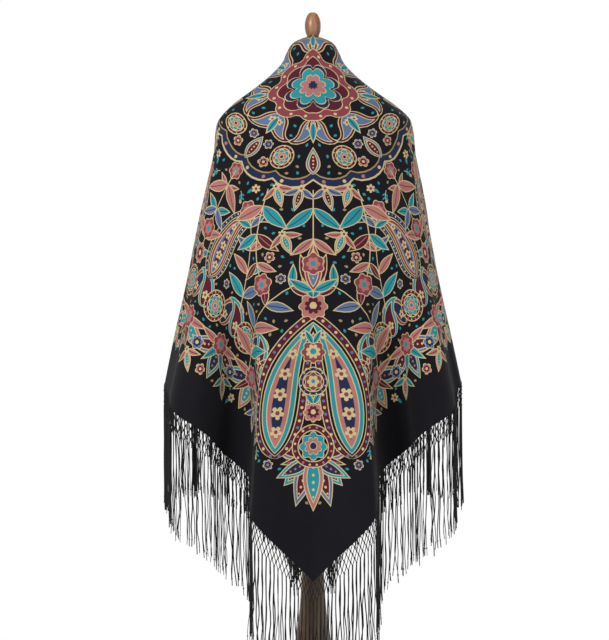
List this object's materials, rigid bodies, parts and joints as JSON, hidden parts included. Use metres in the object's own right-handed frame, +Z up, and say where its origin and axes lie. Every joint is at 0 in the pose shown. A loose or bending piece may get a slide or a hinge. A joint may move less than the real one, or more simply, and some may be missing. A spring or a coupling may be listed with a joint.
{
  "type": "russian shawl on a limbless dress form",
  "caption": "Large square printed wool shawl with a long knotted fringe, folded to a triangle and draped over a limbless dress form on a turned wooden stand.",
  "frame": {"origin": "on the floor, at the middle of the round base and under the form's neck", "axes": "+Z up along the form's column; -Y is the way the shawl's back faces, +Y the form's front, +X to the right as seen from behind"},
  "size_m": [0.636, 0.4726, 1.554],
  "materials": {
    "printed_wool": "matte",
    "black_silk": "satin",
    "dark_linen": "matte",
    "pale_wood": "satin",
    "dark_wood": "satin"
  },
  "bodies": {
    "root": {"shawl_back": "printed_wool", "shawl_left": "printed_wool", "shawl_right": "printed_wool", "shawl_under": "printed_wool", "fringe_left": "black_silk", "fringe_right": "black_silk", "fringe_left_end": "black_silk", "fringe_right_end": "black_silk", "fringe_left_under": "black_silk", "fringe_right_under": "black_silk", "form_torso": "dark_linen", "form_cap": "pale_wood", "form_finial": "pale_wood", "form_column": "dark_wood", "form_base": "dark_wood"}
  },
  "joints": []
}
